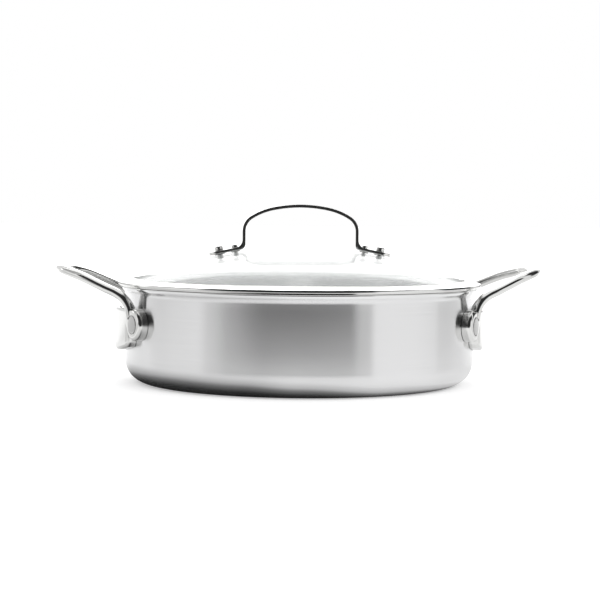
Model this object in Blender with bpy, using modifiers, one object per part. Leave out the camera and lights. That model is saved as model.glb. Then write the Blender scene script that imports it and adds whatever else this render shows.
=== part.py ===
"""Saute pan with two cast side handles and a domed glass lid.

Lengths are metres and +Z is up. The origin is on the surface the pan stands on, under the
centre of its base, and the side handles lie along X. Each piece is one object with its own
material. Pieces that seat on each other take their sizes from the same values.
"""

import math

import bmesh
import bpy
from mathutils import Matrix, Vector

# Pan body
PAN_RADIUS = 0.150
PAN_HEIGHT = 0.0830
WALL = 0.0026
FLOOR = 0.0030
CORNER_RADIUS = 0.020
LIP_REACH = 0.0032
FLARE_HEIGHT = 0.0096
LIP_ROUND = 0.0012

# Clearances
SEAT_GAP = 0.0003
SMALL_GAP = 0.0002
HOLE_GAP = 0.00025

# Side handles: the mount follows the wall, and the bar rises from it
MOUNT_DEPTH = 0.0084
RIVET_ANGLE = math.radians(26.0)
RIVET_BELOW_RIM = 0.0298
LOBE_RADIUS = 0.0133
APRON_SIDE_DROP = 0.0197
APRON_MIDDLE_DROP = 0.0252
APRON_CORNER = 0.0052
APRON_INSET = 0.0111
MOUNT_BEVEL = 0.0032
CAST_FACE = 0.0032
CAST_RIM = 0.0034
CAST_RIB = 0.0030
CAST_CELLS = 4
COUNTERBORE_RADIUS = 0.0081
COUNTERBORE_DEPTH = 0.0010
BAR_HALF_WIDTH = 0.0047
BAR_HALF_HEIGHT = 0.0038
BAR_REACH = 0.0545
BAR_TIP_ABOVE_RIM = 0.0146
BAR_ROOT_ABOVE_RIVET = 0.0048
BAR_ROOT_SWELL = 1.22

# Rivets
RIVET_RADIUS = 0.0040
RIVET_HEAD_RADIUS = 0.0075
RIVET_HEAD_HEIGHT = 0.0013
RIVET_HEAD_CROWN = 0.0003
RIVET_TAIL_RADIUS = 0.0080
RIVET_TAIL_HEIGHT = 0.0026

# Lid glass and its rim band
GLASS_CURVE = 0.390
GLASS_THICKNESS = 0.0040
GLASS_INSET = 0.0045
GLASS_EDGE_LIFT = 0.0040
GLASS_EDGE_ROUND = 0.0004
BAND_OVERHANG = 0.0033
BAND_FLANGE = 0.0026
BAND_SHEET = 0.0007
BAND_CURL = 0.0014
BAND_SEAT_WIDTH = 0.0018
BAND_RECESS = 0.0009
SKIRT_CLEARANCE = 0.0009
SKIRT_THICKNESS = 0.0011
SKIRT_DROP = 0.0070

# Lid handle: a strap bent from flat steel
STRAP_THICKNESS = 0.0022
STRAP_WIDTH = 0.0190
STRAP_RISE = 0.0377
STRAP_HALF_SPAN = 0.0490
ARCH_RADIUS = 0.115
ARCH_SPREAD = math.radians(12.2)
FLANK_RADIUS = 0.055
SHOULDER_RADIUS = 0.0138
BEND_UPPER_RADIUS = 0.0070
BEND_LOWER_RADIUS = 0.0053
FOOT_SLOPE = math.radians(11.6)
FOOT_LENGTH = 0.0295
FOOT_TIP_ROUND = 0.0080
FOOT_STANDOFF = 0.0013
STRAP_EDGE = 0.0003

# Lid fasteners: distance out from the strap's leg, screw radius, nut radius, nut height
FASTENERS = {
    "outer": (0.0205, 0.0019, 0.0036, 0.0044),
    "inner": (0.0070, 0.0014, 0.0026, 0.0028),
}
NUT_SEAT_DEPTH = 0.0002
NUT_BORE_SHARE = 0.62
WASHER_EXTRA = 0.0012
LOWER_WASHER_THICKNESS = 0.0008
SCREW_HEAD_EXTRA = 0.0005
SCREW_HEAD_HEIGHT = 0.0018
GLASS_HOLE_EXTRA = 0.0007

# Facets
TURNED_STEPS = 48
RIVET_STEPS = 20
SMALL_STEPS = 12
GLASS_RINGS = 6
BAR_SIDES = 12
WRAP_STEP = math.radians(4.0)
SHARP_ANGLE = math.radians(32.0)


def clear_scene():
    for obj in list(bpy.data.objects):
        bpy.data.objects.remove(obj, do_unlink=True)


def make_collection(name):
    collection = bpy.data.collections.new(name)
    bpy.context.scene.collection.children.link(collection)
    return collection


def make_material(name, colour, roughness, metallic, transmission=0.0):
    material = bpy.data.materials.new(name)
    material.use_nodes = True
    shader = material.node_tree.nodes["Principled BSDF"]
    shader.inputs["Base Color"].default_value = (*colour, 1.0)
    shader.inputs["Roughness"].default_value = roughness
    shader.inputs["Metallic"].default_value = metallic
    shader.inputs["Transmission Weight"].default_value = transmission
    return material


def add_object(name, mesh, collection):
    obj = bpy.data.objects.new(name, mesh)
    collection.objects.link(obj)
    return obj


def add_cutter(name, mesh):
    obj = add_object(name, mesh, bpy.data.collections["cutters"])
    obj.hide_render = True
    obj.display_type = "WIRE"
    return obj


def mesh_from(bm, name):
    bm.normal_update()
    bmesh.ops.recalc_face_normals(bm, faces=bm.faces)
    mesh = bpy.data.meshes.new(name)
    bm.to_mesh(mesh)
    bm.free()
    return mesh


def arc(centre, radius, start, end, steps):
    """Points on an arc in a plane, with both ends. Angles are in degrees."""
    angles = [math.radians(start + (end - start) * i / steps) for i in range(steps + 1)]
    return [(centre[0] + radius * math.cos(a), centre[1] + radius * math.sin(a)) for a in angles]


def turned_mesh(name, profile, steps):
    """Turns a profile of (radius, height) points, clockwise from the axis or closed, about Z."""
    mesh = bpy.data.meshes.new(name)
    on_axis = abs(profile[0][0]) < 1e-6
    edges = [(i, i + 1) for i in range(len(profile) - 1)]
    if not on_axis:
        edges.append((len(profile) - 1, 0))
    mesh.from_pydata([(r, 0.0, z) for r, z in profile], edges, [])
    obj = add_object(name, mesh, bpy.data.collections["cutters"])
    screw = obj.modifiers.new("Turn", "SCREW")
    screw.axis = "Z"
    screw.steps = steps
    screw.render_steps = steps
    screw.use_merge_vertices = True
    screw.merge_threshold = 0.0001
    screw.use_smooth_shade = True
    return baked(obj)


def baked(obj):
    """The evaluated mesh of an object, which is then removed."""
    bpy.context.view_layer.update()
    graph = bpy.context.evaluated_depsgraph_get()
    mesh = bpy.data.meshes.new_from_object(obj.evaluated_get(graph))
    bm = bmesh.new()
    bm.from_mesh(mesh)
    bmesh.ops.remove_doubles(bm, verts=bm.verts, dist=0.00001)
    bm.normal_update()
    bmesh.ops.recalc_face_normals(bm, faces=bm.faces)
    bm.to_mesh(mesh)
    bm.free()
    bpy.data.objects.remove(obj, do_unlink=True)
    return mesh


def boolean(obj, other, operation):
    modifier = obj.modifiers.new(f"{operation.title()} {other.name}", "BOOLEAN")
    modifier.operation = operation
    modifier.solver = "EXACT"
    modifier.object = other


def cylinder_mesh(name, radius, low, high, steps):
    """A cylinder along local Z between two heights."""
    bm = bmesh.new()
    bmesh.ops.create_cone(
        bm,
        cap_ends=True,
        segments=steps,
        radius1=radius,
        radius2=radius,
        depth=high - low,
        matrix=Matrix.Translation((0, 0, (low + high) / 2)),
    )
    return mesh_from(bm, name)


def finish(obj, material):
    """Gives a piece its one material and smooth round faces."""
    obj.data.materials.clear()
    obj.data.materials.append(material)
    obj.data.shade_smooth()
    obj.data.set_sharp_from_angle(angle=SHARP_ANGLE)
    return obj


# Places that several pieces share

def inner_radius():
    return PAN_RADIUS - WALL


def flat_inner_radius():
    """Distance from the axis to the middle of a facet of the inner wall."""
    return inner_radius() * math.cos(math.pi / TURNED_STEPS)


def face_radius():
    """Outer face of the side handle's mount."""
    return PAN_RADIUS + SEAT_GAP + MOUNT_DEPTH


def rivet_height():
    return PAN_HEIGHT - RIVET_BELOW_RIM


def rivet_frame(angle):
    """Local Z points out of the wall along the rivet, with its zero on the pan's axis."""
    turn = Matrix.Rotation(angle, 4, "Z") @ Matrix.Rotation(math.radians(90), 4, "Y")
    return Matrix.Translation((0, 0, rivet_height())) @ turn


def lid_seat_height():
    return PAN_HEIGHT + SEAT_GAP


def glass_edge_radius():
    return PAN_RADIUS - GLASS_INSET


def glass_centre():
    """Height of the centre of the glass's two spherical faces."""
    edge = math.sqrt(GLASS_CURVE**2 - glass_edge_radius() ** 2)
    return lid_seat_height() + GLASS_EDGE_LIFT - edge


def glass_height(radius, drop=0.0):
    """Height of the glass's top at a distance from the axis, or of a surface below it."""
    return glass_centre() + math.sqrt((GLASS_CURVE - drop) ** 2 - radius**2)


def fastener_radius(name):
    """Distance of a lid fastener from the pan's axis."""
    return STRAP_HALF_SPAN + FASTENERS[name][0]


def foot_line(radius):
    """Height of the strap's middle along its foot."""
    middle = (fastener_radius("outer") + fastener_radius("inner")) / 2
    start = glass_height(middle) + FOOT_STANDOFF + STRAP_THICKNESS / 2
    return start - math.tan(FOOT_SLOPE) * (radius - middle)


# Pan body

def pan_profile():
    """Inner floor, up the inner wall, over the flared lip and down the outer wall."""
    inner = inner_radius()
    inner_corner = CORNER_RADIUS - WALL
    flare_low = PAN_HEIGHT - FLARE_HEIGHT
    points = [(0.0, FLOOR)]
    points += arc((inner - inner_corner, FLOOR + inner_corner), inner_corner, -90, 0, 4)
    flare = [(share, share**2.2) for share in (0.0, 0.45, 0.8)]
    for rise, reach in flare:
        height = flare_low + rise * (FLARE_HEIGHT - LIP_ROUND)
        points.append((inner + reach * LIP_REACH, height))
    tip = (PAN_RADIUS + LIP_REACH - LIP_ROUND, PAN_HEIGHT - LIP_ROUND)
    points += arc(tip, LIP_ROUND, 135, -30, 3)
    for rise, reach in reversed(flare):
        height = flare_low + rise * (FLARE_HEIGHT - 2 * LIP_ROUND)
        points.append((PAN_RADIUS + reach * LIP_REACH, height))
    points += arc((PAN_RADIUS - CORNER_RADIUS, CORNER_RADIUS), CORNER_RADIUS, 0, -90, 6)
    points.append((0.0, 0.0))
    return points


def build_pan(collection, material):
    pan = add_object("pan_body", turned_mesh("pan_body", pan_profile(), TURNED_STEPS), collection)
    hole = cylinder_mesh(
        "rivet_hole", RIVET_RADIUS + HOLE_GAP, inner_radius() - WALL, PAN_RADIUS + WALL, SMALL_STEPS
    )
    for side, turn in rivet_places():
        cutter = add_cutter(f"wall_hole_{side}", hole)
        cutter.matrix_world = rivet_frame(turn)
        boolean(pan, cutter, "DIFFERENCE")
    return finish(pan, material)


def rivet_places():
    """Names and angles round the pan of the four rivets."""
    return [
        ("right_back", RIVET_ANGLE),
        ("right_front", -RIVET_ANGLE),
        ("left_back", math.pi - RIVET_ANGLE),
        ("left_front", math.pi + RIVET_ANGLE),
    ]


# Side handles

def mount_top():
    return rivet_height() + LOBE_RADIUS


def mount_outline():
    """Half of the mount's outline, laid flat: (distance round the wall, height), top to bottom.

    The round lobe about the rivet stands out past the side of the apron that hangs between."""
    lobe = (RIVET_ANGLE * face_radius(), rivet_height())
    meet = math.degrees(math.acos(-APRON_INSET / LOBE_RADIUS))
    points = [(0.0, mount_top())]
    points += arc(lobe, LOBE_RADIUS, 90, -meet, 15)
    side = lobe[0] - APRON_INSET
    corner = (side - APRON_CORNER, lobe[1] - APRON_SIDE_DROP + APRON_CORNER)
    points += arc(corner, APRON_CORNER, 0, -84, 4)
    end, height = points[-1]
    belly = height - (lobe[1] - APRON_MIDDLE_DROP)
    for share in (0.67, 0.33, 0.0):
        points.append((end * share, height - belly * (1 - share**2)))
    return points


def wrap_round_wall(bm):
    """Bends a flat shape (X round the wall, Y out from it, Z up) round the pan's axis."""
    reach = max(abs(vert.co.x) for vert in bm.verts)
    step = WRAP_STEP * face_radius()
    for i in range(-int(reach / step), int(reach / step) + 1):
        geometry = bm.verts[:] + bm.edges[:] + bm.faces[:]
        bmesh.ops.bisect_plane(bm, geom=geometry, plane_co=(i * step, 0, 0), plane_no=(1, 0, 0))
    for vert in bm.verts:
        angle = vert.co.x / face_radius()
        radius = vert.co.y
        vert.co = Vector((radius * math.cos(angle), radius * math.sin(angle), vert.co.z))


def plate_from_outline(outline, low, high):
    """A flat plate of the outline and its mirror image, between two distances from the axis."""
    mirrored = [(-x, z) for x, z in reversed(outline) if abs(x) > 1e-6]
    bm = bmesh.new()
    verts = [bm.verts.new((x, low, z)) for x, z in outline + mirrored]
    face = bm.faces.new(verts)
    grown = bmesh.ops.extrude_face_region(bm, geom=[face])
    moved = [item for item in grown["geom"] if isinstance(item, bmesh.types.BMVert)]
    bmesh.ops.translate(bm, verts=moved, vec=(0, high - low, 0))
    bmesh.ops.recalc_face_normals(bm, faces=bm.faces)
    return bm


def build_mount_mesh():
    low = PAN_RADIUS - WALL / 2
    bm = plate_from_outline(mount_outline(), low, face_radius())
    bm.edges.ensure_lookup_table()
    rim = [edge for edge in bm.edges if all(v.co.y > face_radius() - 1e-6 for v in edge.verts)]
    bmesh.ops.bevel(
        bm,
        geom=rim,
        offset=MOUNT_BEVEL,
        offset_type="OFFSET",
        affect="EDGES",
        segments=2,
        profile=0.5,
        material=-1,
    )
    wrap_round_wall(bm)
    return mesh_from(bm, "mount")


def build_cell_mesh():
    """The pockets in the back of the casting, as one cutter of separate blocks with ribs between."""
    reach = RIVET_ANGLE * face_radius() - APRON_INSET - CAST_RIM / 2
    pitch = 2 * reach / CAST_CELLS
    low = PAN_RADIUS - WALL
    high = face_radius() - CAST_FACE
    bm = bmesh.new()
    for i in range(CAST_CELLS):
        x0 = -reach + i * pitch + CAST_RIB / 2
        x1 = x0 + pitch - CAST_RIB
        z0 = rivet_height() - APRON_SIDE_DROP + CAST_RIM
        z1 = mount_top() - CAST_RIM - BAR_HALF_HEIGHT
        size = Matrix.Diagonal((x1 - x0, high - low, z1 - z0, 1.0))
        place = Matrix.Translation(((x0 + x1) / 2, (low + high) / 2, (z0 + z1) / 2))
        bmesh.ops.create_cube(bm, size=1.0, matrix=place @ size)
    wrap_round_wall(bm)
    return mesh_from(bm, "cells")


def bar_points():
    """Middle line of the bar from its root inside the mount to its tip: (out, across, up)."""
    across = RIVET_ANGLE * face_radius() - LOBE_RADIUS * 0.9
    root = math.sqrt((face_radius() - MOUNT_DEPTH / 2) ** 2 - across**2)
    span = PAN_RADIUS + BAR_REACH - root
    base = rivet_height() + BAR_ROOT_ABOVE_RIVET
    rise = PAN_HEIGHT + BAR_TIP_ABOVE_RIM - base
    shape = [
        (0.000, 1.000, 0.000),
        (0.040, 0.985, 0.230),
        (0.115, 0.955, 0.405),
        (0.220, 0.915, 0.520),
        (0.350, 0.870, 0.610),
        (0.490, 0.805, 0.710),
        (0.670, 0.695, 0.835),
        (0.820, 0.560, 0.915),
        (0.925, 0.405, 0.965),
        (0.982, 0.210, 0.992),
        (1.000, 0.000, 1.000),
    ]
    return [
        Vector((root + span * out, across * wide, base + rise * up))
        for out, wide, up in shape
    ]


def smooth_points(points, steps):
    """A smooth curve through the points, from Catmull-Rom spans."""
    padded = [points[0] * 2 - points[1]] + points + [points[-1] * 2 - points[-2]]
    result = []
    for i in range(1, len(padded) - 2):
        p0, p1, p2, p3 = padded[i - 1 : i + 3]
        for k in range(steps):
            t = k / steps
            result.append(
                0.5
                * (
                    2 * p1
                    + (p2 - p0) * t
                    + (2 * p0 - 5 * p1 + 4 * p2 - p3) * t**2
                    + (3 * p1 - p0 - 3 * p2 + p3) * t**3
                )
            )
    result.append(points[-1])
    return result


def build_bar_mesh():
    """The bar as a curve with an oval section, thicker at its roots."""
    half = bar_points()
    other = [Vector((p.x, -p.y, p.z)) for p in reversed(half[:-1])]
    points = smooth_points(half + other, 2)

    section = bpy.data.curves.new("bar_section", "CURVE")
    spline = section.splines.new("POLY")
    spline.points.add(BAR_SIDES - 1)
    for i, point in enumerate(spline.points):
        angle = 2 * math.pi * i / BAR_SIDES
        point.co = (BAR_HALF_WIDTH * math.cos(angle), BAR_HALF_HEIGHT * math.sin(angle), 0, 1)
    spline.use_cyclic_u = True
    section_object = add_cutter("bar_section", section)

    curve = bpy.data.curves.new("bar", "CURVE")
    curve.dimensions = "3D"
    curve.twist_mode = "Z_UP"
    curve.bevel_mode = "OBJECT"
    curve.bevel_object = section_object
    curve.use_fill_caps = True
    spline = curve.splines.new("POLY")
    spline.points.add(len(points) - 1)
    low, high = points[0].z, points[len(points) // 2].z
    for point, place in zip(spline.points, points):
        share = min(1.0, max(0.0, (place.z - low) / (high - low) / 0.7))
        point.co = (*place, 1)
        point.radius = 1 + (BAR_ROOT_SWELL - 1) * (1 - share) ** 2
    bar = add_object("bar", curve, bpy.data.collections["cutters"])
    mesh = baked(bar)
    bpy.data.objects.remove(section_object, do_unlink=True)
    return mesh


def build_side_handles(collection, material):
    """One casting at +X, made once, and the same mesh turned half round for the other side."""
    casting = add_object("casting", build_mount_mesh(), bpy.data.collections["cutters"])
    helpers = [add_cutter("bar_solid", build_bar_mesh())]
    boolean(casting, helpers[-1], "UNION")
    seat = face_radius() - COUNTERBORE_DEPTH
    counterbore = cylinder_mesh(
        "counterbore", COUNTERBORE_RADIUS, seat, face_radius() + WALL, RIVET_STEPS
    )
    bore = cylinder_mesh(
        "bore", RIVET_RADIUS + HOLE_GAP, inner_radius() - WALL, face_radius() + WALL, SMALL_STEPS
    )
    wall_steps = 2 * TURNED_STEPS
    wall = cylinder_mesh("wall", PAN_RADIUS + SEAT_GAP, 0.0, PAN_HEIGHT, wall_steps)
    cuts = [add_cutter("cells", build_cell_mesh()), add_cutter("wall", wall)]
    for angle in (-RIVET_ANGLE, RIVET_ANGLE):
        for name, mesh in (("bore", bore), ("counterbore", counterbore)):
            cuts.append(add_cutter(name, mesh))
            cuts[-1].matrix_world = rivet_frame(angle)
    for cut in cuts:
        boolean(casting, cut, "DIFFERENCE")
    mesh = baked(casting)
    for helper in helpers + cuts:
        bpy.data.objects.remove(helper, do_unlink=True)
    for side, turn in (("right", 0.0), ("left", math.pi)):
        handle = add_object(f"side_handle_{side}", mesh.copy(), collection)
        handle.rotation_euler.z = turn
        finish(handle, material)


# Rivets

def rivet_profile():
    """Distances along local Z are from the pan's axis. The low head sits in the casting's
    counterbore, and the domed tail is inside the pan."""
    seat = face_radius() - COUNTERBORE_DEPTH + SMALL_GAP
    top = seat + RIVET_HEAD_HEIGHT
    tail = math.sqrt(flat_inner_radius() ** 2 - RIVET_TAIL_RADIUS**2) - SMALL_GAP
    points = [(0.0, top), (RIVET_HEAD_RADIUS * 0.6, top - RIVET_HEAD_CROWN * 0.36)]
    points += [(RIVET_HEAD_RADIUS * 0.96, top - RIVET_HEAD_CROWN)]
    points += [(RIVET_HEAD_RADIUS, top - RIVET_HEAD_CROWN * 2)]
    points += [(RIVET_HEAD_RADIUS, seat), (RIVET_RADIUS, seat), (RIVET_RADIUS, tail)]
    points.append((RIVET_TAIL_RADIUS, tail))
    for share in (0.86, 0.50):
        rise = RIVET_TAIL_HEIGHT * math.sqrt(1 - share**2)
        points.append((RIVET_TAIL_RADIUS * share, tail - rise))
    points.append((0.0, tail - RIVET_TAIL_HEIGHT))
    return points


def build_rivets(collection, material):
    mesh = turned_mesh("rivet", rivet_profile(), RIVET_STEPS)
    for side, turn in rivet_places():
        rivet = add_object(f"rivet_{side}", mesh, collection)
        rivet.matrix_world = rivet_frame(turn)
        finish(rivet, material)


# Lid

def fastener_frame(name, side):
    """Local Z is square to the strap's foot, with its zero at the foot's underside."""
    radius = fastener_radius(name)
    normal = Vector((side * math.sin(FOOT_SLOPE), 0, math.cos(FOOT_SLOPE)))
    place = Vector((side * radius, 0, foot_line(radius))) - normal * STRAP_THICKNESS / 2
    turn = Matrix.Rotation(side * FOOT_SLOPE, 4, "Y")
    return Matrix.Translation(place) @ turn


def fastener_places():
    return [(name, tag, side) for name in FASTENERS for tag, side in (("left", -1), ("right", 1))]


def depth_below_foot(name, drop, reach):
    """Distance down the screw from the foot's underside to where a flat ring of a given
    radius meets the glass's top, or a surface a given drop below it."""
    frame = fastener_frame(name, 1)
    down = frame.to_3x3() @ Vector((0, 0, -1))
    across = frame.to_3x3() @ Vector((1, 0, 0))
    curve = GLASS_CURVE - drop
    centre = Vector((0, 0, glass_centre()))
    depths = []
    for side in (-1, 0, 1):
        start = frame.translation + across * reach * side - centre
        along = start.dot(down)
        depths.append(-along - math.sqrt(along**2 - start.length_squared + curve**2))
    return depths


def build_lid_glass(collection, material):
    radius = glass_edge_radius()
    last = radius - GLASS_EDGE_ROUND
    rings = [last * i / GLASS_RINGS for i in range(GLASS_RINGS + 1)]
    top = [(r, glass_height(r)) for r in rings]
    under = [(r, glass_height(r, GLASS_THICKNESS)) for r in reversed(rings)]
    edge = [
        (radius, top[-1][1] - GLASS_EDGE_ROUND),
        (radius, under[0][1] + GLASS_EDGE_ROUND),
    ]
    profile = top + edge + under
    glass = add_object("lid_glass", turned_mesh("lid_glass", profile, TURNED_STEPS), collection)
    for name, tag, side in fastener_places():
        radius = FASTENERS[name][1] + GLASS_HOLE_EXTRA
        mesh = cylinder_mesh("glass_hole", radius, -3 * GLASS_THICKNESS, 0.0, SMALL_STEPS)
        cutter = add_cutter(f"glass_hole_{name}_{tag}", mesh)
        cutter.matrix_world = fastener_frame(name, side)
        boolean(glass, cutter, "DIFFERENCE")
    return finish(glass, material)


def band_profile():
    """The rolled channel that grips the glass, rests on the pan's lip and drops inside it."""
    gap = SMALL_GAP
    seat = lid_seat_height()
    edge = glass_edge_radius()
    inner = edge - BAND_FLANGE
    groove = edge + SEAT_GAP
    skirt = inner_radius() - SKIRT_CLEARANCE
    seat_edge = PAN_RADIUS + BAND_SEAT_WIDTH
    crown = edge - BAND_FLANGE * 0.3
    curl = (PAN_RADIUS + LIP_REACH + BAND_OVERHANG - BAND_CURL, seat + BAND_RECESS + BAND_CURL)
    points = [(inner, glass_height(inner) + gap)]
    points.append((inner + BAND_SHEET * 0.3, glass_height(inner) + gap + BAND_SHEET))
    points.append((crown, glass_height(crown) + gap + BAND_SHEET))
    points.append((edge + BAND_FLANGE * 1.5, curl[1] + BAND_CURL * 1.35))
    points += arc(curl, BAND_CURL, 70, -100, 5)
    points.append((seat_edge + BAND_SHEET, seat + BAND_RECESS * 0.85))
    points.append((seat_edge, seat))
    points += [(inner_radius(), seat), (skirt, seat - BAND_SHEET)]
    points.append((skirt, seat - SKIRT_DROP))
    points.append((skirt - SKIRT_THICKNESS, seat - SKIRT_DROP))
    fold = glass_height(skirt - SKIRT_THICKNESS, GLASS_THICKNESS) - gap - BAND_SHEET
    points.append((skirt - SKIRT_THICKNESS, fold))
    floor_in = glass_height(inner, GLASS_THICKNESS) - gap
    floor_out = glass_height(edge, GLASS_THICKNESS) - gap
    points += [(inner, floor_in - BAND_SHEET), (inner, floor_in)]
    points += [(groove, floor_out), (groove, glass_height(edge) + gap)]
    return points


def build_lid_band(collection, material):
    band = turned_mesh("lid_rim_band", band_profile(), TURNED_STEPS)
    return finish(add_object("lid_rim_band", band, collection), material)


def strap_face(side):
    """Right half of the strap's upper (1) or lower (-1) face, from the crown to the foot's tip."""
    off = side * STRAP_THICKNESS / 2
    crown = glass_height(0.0) + STRAP_RISE - STRAP_THICKNESS / 2
    arch_centre = Vector((0.0, crown - ARCH_RADIUS))
    toward = Vector((math.sin(ARCH_SPREAD), math.cos(ARCH_SPREAD)))
    flank_centre = arch_centre + toward * (ARCH_RADIUS - FLANK_RADIUS)
    shoulder_x = STRAP_HALF_SPAN - SHOULDER_RADIUS
    tilt = math.asin((shoulder_x - flank_centre.x) / (FLANK_RADIUS - SHOULDER_RADIUS))
    drop = (FLANK_RADIUS - SHOULDER_RADIUS) * math.cos(tilt)
    shoulder_centre = Vector((shoulder_x, flank_centre.y + drop))
    first, second = 90 - math.degrees(ARCH_SPREAD), 90 - math.degrees(tilt)
    points = arc(arch_centre, ARCH_RADIUS + off, 90, first, 2)
    points += arc(flank_centre, FLANK_RADIUS + off, first, second, 3)[1:]
    points += arc(shoulder_centre, SHOULDER_RADIUS + off, second, 0, 6)[1:]
    bend = BEND_UPPER_RADIUS if side > 0 else BEND_LOWER_RADIUS
    rise = off / math.cos(FOOT_SLOPE)
    centre_x = STRAP_HALF_SPAN + off + bend
    centre_z = foot_line(centre_x) + rise + bend / math.cos(FOOT_SLOPE)
    points += arc((centre_x, centre_z), bend, 180, 270 - math.degrees(FOOT_SLOPE), 5)
    tip = STRAP_HALF_SPAN + FOOT_LENGTH
    points.append((tip, foot_line(tip) + rise))
    return points


def both_halves(points):
    return [(-x, z) for x, z in reversed(points[1:])] + points


def build_lid_handle(collection, material):
    outer, inner = both_halves(strap_face(1)), both_halves(strap_face(-1))
    bm = bmesh.new()
    rows = []
    for (ox, oz), (ix, iz) in zip(outer, inner):
        corners = [(ox, -1, oz), (ox, 1, oz), (ix, 1, iz), (ix, -1, iz)]
        rows.append([bm.verts.new((x, y * STRAP_WIDTH / 2, z)) for x, y, z in corners])
    for first, second in zip(rows, rows[1:]):
        for i in range(4):
            bm.faces.new((first[i], first[(i + 1) % 4], second[(i + 1) % 4], second[i]))
    bm.faces.new(rows[0])
    bm.faces.new(reversed(rows[-1]))
    bmesh.ops.recalc_face_normals(bm, faces=bm.faces)
    corners = []
    for row in (rows[0], rows[-1]):
        corners += [bm.edges.get((row[0], row[3])), bm.edges.get((row[1], row[2]))]
    bmesh.ops.bevel(
        bm, geom=corners, offset=FOOT_TIP_ROUND, affect="EDGES", segments=5, profile=0.5, material=-1
    )
    handle = add_object("lid_handle", mesh_from(bm, "lid_handle"), collection)
    edge = handle.modifiers.new("Edge", "BEVEL")
    edge.width = STRAP_EDGE
    edge.segments = 1
    edge.limit_method = "ANGLE"
    edge.angle_limit = math.radians(60)
    for name, tag, side in fastener_places():
        _, screw_radius, nut_radius, nut_height = FASTENERS[name]
        seat = STRAP_THICKNESS - NUT_SEAT_DEPTH
        for kind, radius, low, high in (
            ("foot_hole", screw_radius + HOLE_GAP, -STRAP_THICKNESS, 2 * STRAP_THICKNESS),
            ("nut_seat", nut_radius + HOLE_GAP, seat, seat + nut_height),
        ):
            cutter = add_cutter(
                f"{kind}_{name}_{tag}", cylinder_mesh(kind, radius, low, high, SMALL_STEPS)
            )
            cutter.matrix_world = fastener_frame(name, side)
            boolean(handle, cutter, "DIFFERENCE")
    return finish(handle, material)


# Lid fasteners, along local Z from the foot's underside

def nut_base():
    return STRAP_THICKNESS - NUT_SEAT_DEPTH + SMALL_GAP


def nut_profile(screw_radius, radius, height):
    base = nut_base()
    bore = screw_radius + HOLE_GAP
    points = [(0.0, base + height)]
    for share in (0.45, 0.78, 0.95):
        fall = 0.34 * height * (1 - math.sqrt(1 - share**2))
        points.append((radius * share, base + height - fall))
    points.append((radius, base + height * 0.62))
    points += [(radius, base), (bore, base)]
    points += [(bore, base + height * NUT_BORE_SHARE), (0.0, base + height * NUT_BORE_SHARE)]
    return points


def ring_profile(bore, radius, low, high):
    return [(bore, high), (radius, high), (radius, low), (bore, low)]


def screw_profile(screw_radius, head_radius, seat, top):
    low = seat - SCREW_HEAD_HEIGHT
    edge = SCREW_HEAD_HEIGHT * 0.45
    points = [(0.0, top), (screw_radius * 0.8, top), (screw_radius, top - screw_radius * 0.2)]
    points += [(screw_radius, seat), (head_radius, seat), (head_radius, low + edge)]
    points += [(head_radius * 0.82, low + edge * 0.25), (head_radius * 0.5, low), (0.0, low)]
    return points


def build_lid_fasteners(collection, steel, washers):
    for name, tag, side in fastener_places():
        _, screw_radius, nut_radius, nut_height = FASTENERS[name]
        frame = fastener_frame(name, side)
        washer_radius = nut_radius + WASHER_EXTRA
        bore = screw_radius + HOLE_GAP
        glass_top = -min(depth_below_foot(name, 0.0, washer_radius))
        glass_under = -max(depth_below_foot(name, GLASS_THICKNESS, washer_radius))
        lower = glass_under - SEAT_GAP
        head_seat = lower - LOWER_WASHER_THICKNESS - SMALL_GAP
        bore_end = nut_base() + nut_height * NUT_BORE_SHARE
        pieces = {
            "dome_nut": (nut_profile(screw_radius, nut_radius, nut_height), steel),
            "upper_washer": (
                ring_profile(bore, washer_radius, glass_top + SMALL_GAP, -SMALL_GAP),
                washers[name],
            ),
            "lower_washer": (
                ring_profile(bore, washer_radius, lower - LOWER_WASHER_THICKNESS, lower),
                steel,
            ),
            "screw": (
                screw_profile(
                    screw_radius, nut_radius + SCREW_HEAD_EXTRA, head_seat, bore_end - SMALL_GAP
                ),
                steel,
            ),
        }
        for kind, (profile, material) in pieces.items():
            mesh = turned_mesh(kind, profile, SMALL_STEPS)
            piece = add_object(f"{kind}_{name}_{tag}", mesh, collection)
            piece.matrix_world = frame
            finish(piece, material)


def main():
    clear_scene()
    pan_parts = make_collection("saute_pan")
    make_collection("cutters")
    brushed = make_material("brushed_steel", (0.62, 0.62, 0.63), 0.30, 1.0)
    polished = make_material("polished_steel", (0.78, 0.78, 0.77), 0.08, 1.0)
    glass = make_material("clear_glass", (0.93, 0.96, 0.95), 0.03, 0.0, 1.0)
    silicone = make_material("silicone", (0.72, 0.72, 0.70), 0.55, 0.0)
    dark_silicone = make_material("dark_silicone", (0.05, 0.05, 0.05), 0.55, 0.0)
    build_pan(pan_parts, brushed)
    build_side_handles(pan_parts, polished)
    build_rivets(pan_parts, polished)
    build_lid_glass(pan_parts, glass)
    build_lid_band(pan_parts, polished)
    build_lid_handle(pan_parts, polished)
    build_lid_fasteners(pan_parts, polished, {"outer": dark_silicone, "inner": silicone})


main()
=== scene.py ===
"""Looks of a saute pan with two cast side handles and a domed glass lid."""

import math
from collections import namedtuple
from functools import partial

import bmesh
import bpy
from mathutils import Matrix, Vector


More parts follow.
